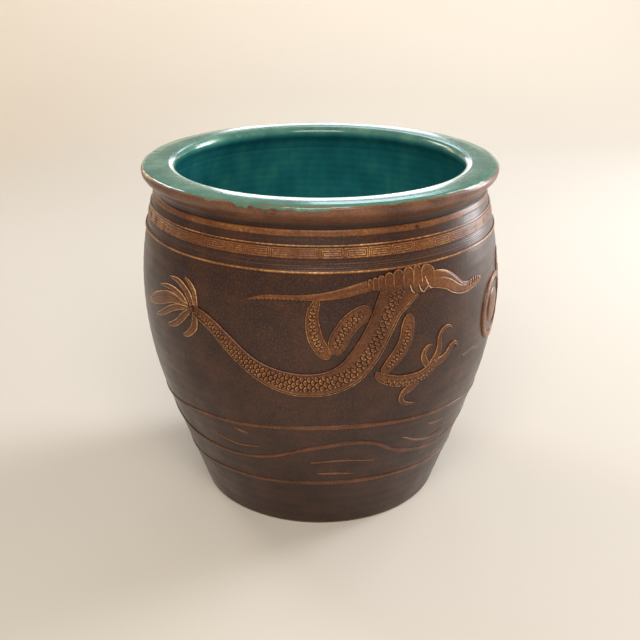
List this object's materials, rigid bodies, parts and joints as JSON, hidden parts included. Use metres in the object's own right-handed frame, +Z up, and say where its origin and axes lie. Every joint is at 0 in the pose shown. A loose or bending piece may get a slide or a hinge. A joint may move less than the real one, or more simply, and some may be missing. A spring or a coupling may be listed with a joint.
{
  "type": "martaban jar",
  "caption": "Wide-mouthed stoneware storage jar with a flat flanged rim, full belly and tapered foot, teal glazed inside, with clay dragon, wave and key-pattern relief.",
  "frame": {"origin": "centre of the base, on the surface that the jar stands on", "axes": "+Z up the jar's axis; -Y towards the first dragon, which runs from -X at its tail to +X at its head; the second dragon is half a turn round"},
  "size_m": [0.5766, 0.5792, 0.55],
  "materials": {
    "bare_stoneware": "unglazed, fired buff brown",
    "brown_glaze": "thin speckled dark brown glaze, satin gloss",
    "rust_glaze": "red-brown glaze, worn through on the edge",
    "teal_glaze": "glossy teal lead glaze that pools darker inside",
    "buff_clay": "ochre clay relief under a thin clear glaze"
  },
  "bodies": {
    "root": {"floor_slab": "bare_stoneware", "lower_wall": "brown_glaze", "belly_wall": "brown_glaze", "shoulder_wall": "brown_glaze", "rim_collar": "rust_glaze", "lining_glaze": "teal_glaze", "rim_glaze": "teal_glaze", "neck_band": "buff_clay", "fret_border": "buff_clay", "fret_band": "buff_clay", "shoulder_cordon": "buff_clay", "upper_wave": "buff_clay", "middle_wave": "buff_clay", "lower_wave": "buff_clay", "ripple_strokes": "buff_clay", "front_dragon_crest": "buff_clay", "front_dragon_whisker": "buff_clay", "front_dragon_head": "buff_clay", "front_dragon_body": "buff_clay", "front_dragon_left_leg": "buff_clay", "front_dragon_right_leg": "buff_clay", "front_dragon_forearm": "buff_clay", "front_dragon_tail_plume": "buff_clay", "front_flaming_pearl": "buff_clay", "back_dragon_crest": "buff_clay", "back_dragon_whisker": "buff_clay", "back_dragon_head": "buff_clay", "back_dragon_body": "buff_clay", "back_dragon_left_leg": "buff_clay", "back_dragon_right_leg": "buff_clay", "back_dragon_forearm": "buff_clay", "back_dragon_tail_plume": "buff_clay", "back_flaming_pearl": "buff_clay"}
  },
  "joints": []
}
